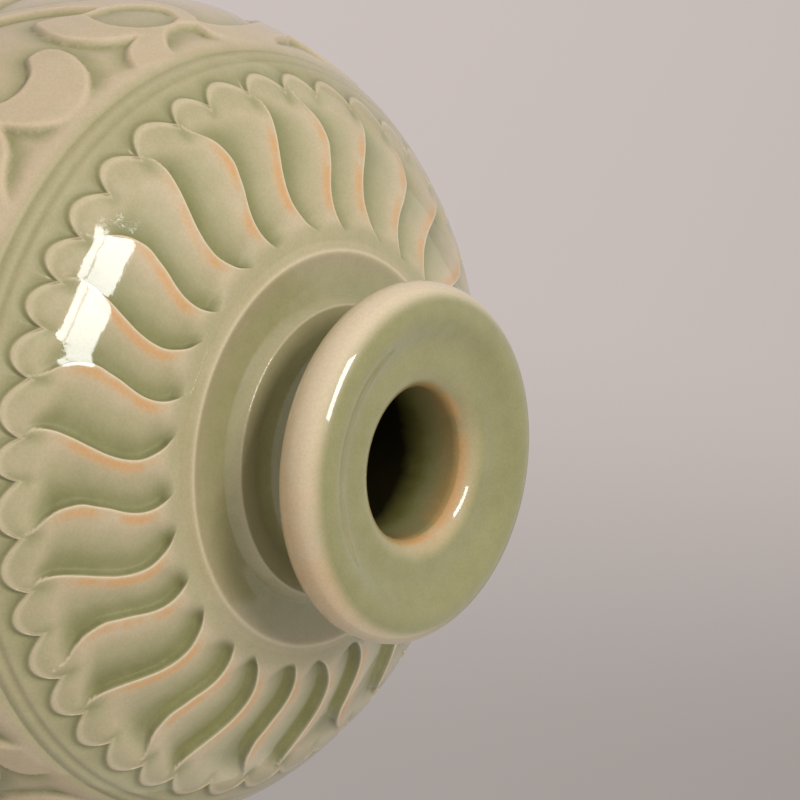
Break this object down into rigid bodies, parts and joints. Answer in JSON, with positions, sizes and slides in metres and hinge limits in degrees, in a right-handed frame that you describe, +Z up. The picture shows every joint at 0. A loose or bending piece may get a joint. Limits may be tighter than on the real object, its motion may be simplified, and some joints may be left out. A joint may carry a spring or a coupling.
{
  "type": "meiping vase",
  "caption": "Tall vase with broad shoulders, a short neck and a flanged ring mouth, carved with swirling lotus petals under a pale green glaze.",
  "frame": {"origin": "centre of the foot's contact face", "axes": "+Z up along the vase's axis, from the foot to the mouth"},
  "size_m": [0.149, 0.149, 0.262],
  "materials": {
    "celadon_glaze": "glossy pale sea-green celadon glaze over carved stoneware, cream on the crests and deeper green in the grooves",
    "bare_clay": "unglazed fired clay with an orange-brown flush",
    "fired_slip": "fired luting slip inside the joints"
  },
  "bodies": {
    "root": {"lower_body": "celadon_glaze", "shoulder_body": "celadon_glaze", "shoulder_collar": "celadon_glaze", "neck_tube": "celadon_glaze", "mouth_ring": "celadon_glaze", "base_disc": "celadon_glaze", "foot_ring": "bare_clay", "foot_slip_ring": "fired_slip", "belly_slip_ring": "fired_slip", "collar_slip_ring": "fired_slip", "neck_slip_ring": "fired_slip", "mouth_slip_ring": "fired_slip"}
  },
  "joints": []
}
